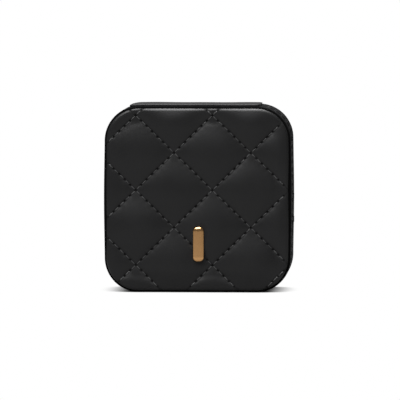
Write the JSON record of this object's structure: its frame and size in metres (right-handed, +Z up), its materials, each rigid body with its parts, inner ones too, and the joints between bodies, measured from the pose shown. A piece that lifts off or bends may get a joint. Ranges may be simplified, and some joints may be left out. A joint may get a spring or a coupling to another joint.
{
  "type": "jewellery case",
  "caption": "Square zip-round jewellery case with a padded diamond-quilted lid, hinged along one side, with a lined tray, ring rolls and a lid mirror.",
  "frame": {"origin": "on the standing surface, under the middle of the closed case", "axes": "+X to the right seen from the quilted front, +Y from the quilted front to the back panel, +Z up from the lower edge to the hinge"},
  "size_m": [0.0994, 0.0504, 0.0991],
  "materials": {
    "black_leather": "fine-grained black leather, satin",
    "stiff_board": "raw grey board",
    "suede_lining": "short-napped black suede cloth",
    "mirror_glass": "silvered glass",
    "gold_metal": "polished warm gold plate",
    "plain_steel": "plain",
    "zip_tape": "woven herringbone tape",
    "dark_metal": "dark nickel plate, satin"
  },
  "bodies": {
    "base": {"base_back_leather": "black_leather", "base_wall_leather": "black_leather", "base_board": "stiff_board", "base_frame": "stiff_board", "base_floor_pad": "suede_lining", "base_tray_lining": "suede_lining", "centre_partition": "suede_lining", "cross_divider_lower": "suede_lining", "cross_divider_upper": "suede_lining", "ring_roll_1": "suede_lining", "ring_roll_2": "suede_lining", "ring_roll_3": "suede_lining", "ring_roll_4": "suede_lining", "ring_roll_5": "suede_lining", "ring_roll_6": "suede_lining", "ring_roll_7": "suede_lining", "hinge_strip": "black_leather", "hinge_lining": "suede_lining", "zip_tape_base": "zip_tape", "zip_teeth_base": "dark_metal", "zip_stops_base": "dark_metal"},
    "lid": {"lid_quilted_cover": "black_leather", "lid_board": "stiff_board", "lid_wall_leather": "black_leather", "lid_frame": "stiff_board", "lid_lining_panel": "suede_lining", "lid_wall_lining": "suede_lining", "lid_mirror": "mirror_glass", "mirror_bezel": "black_leather", "badge_bar": "gold_metal", "badge_washers": "plain_steel", "zip_tape_lid": "zip_tape", "zip_teeth_lid": "dark_metal", "zip_stops_lid": "dark_metal"},
    "slider_up": {"upper_slider": "dark_metal"},
    "slider_low": {"lower_slider": "dark_metal"},
    "pull_up": {"upper_pull": "dark_metal"},
    "pull_low": {"lower_pull": "dark_metal"}
  },
  "joints": [
    {"name": "lid_hinge", "type": "hinge", "parent": "base", "child": "lid", "pos_m": [0, -0.004, 0.0991], "axis": [-1, 0, 0], "range_deg": [0, 170], "deforming": ["hinge_strip", "hinge_lining"]},
    {"name": "upper_slide", "type": "slide", "parent": "base", "child": "slider_up", "axis": [0, 0, 1], "range_m": [0, 0.025]},
    {"name": "lower_slide", "type": "slide", "parent": "base", "child": "slider_low", "axis": [0, 0, -1], "range_m": [0, 0.015]},
    {"name": "upper_pull_swing", "type": "hinge", "parent": "slider_up", "child": "pull_up", "pos_m": [0.04958, -0.004, 0.04925], "axis": [0, -1, 0], "range_deg": [0, 110]},
    {"name": "lower_pull_swing", "type": "hinge", "parent": "slider_low", "child": "pull_low", "pos_m": [0.04958, -0.004, 0.03725], "axis": [0, -1, 0], "range_deg": [0, 110]}
  ]
}
